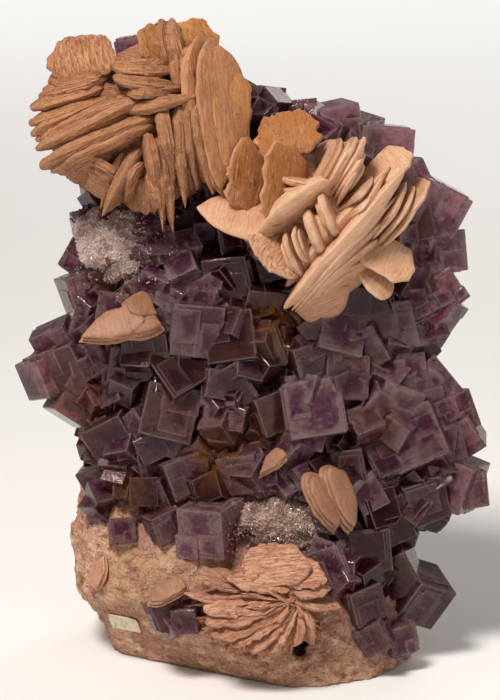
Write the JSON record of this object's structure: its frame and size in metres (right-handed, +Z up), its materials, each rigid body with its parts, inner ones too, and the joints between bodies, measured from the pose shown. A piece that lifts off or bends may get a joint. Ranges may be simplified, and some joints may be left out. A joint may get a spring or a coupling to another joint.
{
  "type": "fluorite with barite",
  "caption": "Upright cabinet mineral specimen: purple fluorite cubes and tan bladed barite roses on a pale host rock, cut flat to stand.",
  "frame": {"origin": "middle of the flat cut base, on the surface that the specimen stands on", "axes": "+Z up, -Y the way the crystal face looks (it leans back 14 degrees), +X to the right of someone who faces it"},
  "size_m": [0.1446, 0.1021, 0.1912],
  "materials": {
    "rock": "rough, worn tan and pink rock",
    "fluorite": "see-through purple crystal with glassy flat faces",
    "barite_tan": "dull, ribbed tan blades",
    "barite_cream": "satin cream blades, faintly see-through at their rims",
    "barite_pink": "dull pink-tan blades",
    "quartz": "sparkling crust of tiny grey quartz points",
    "paper": "aged paper, bare"
  },
  "bodies": {
    "root": {"host_rock": "rock", "fluorite_crust": "fluorite", "fluorite_foot_crystals": "fluorite", "barite_rose_upper_left": "barite_tan", "barite_rose_upper_right": "barite_cream", "barite_rose_lower": "barite_pink", "barite_crystal_left": "barite_tan", "barite_crystal_right": "barite_cream", "barite_crystal_centre": "barite_cream", "barite_crystal_foot_left": "barite_pink", "barite_crystal_foot_middle": "barite_pink", "quartz_druse_upper": "quartz", "quartz_druse_lower": "quartz", "collection_label": "paper"}
  },
  "joints": []
}
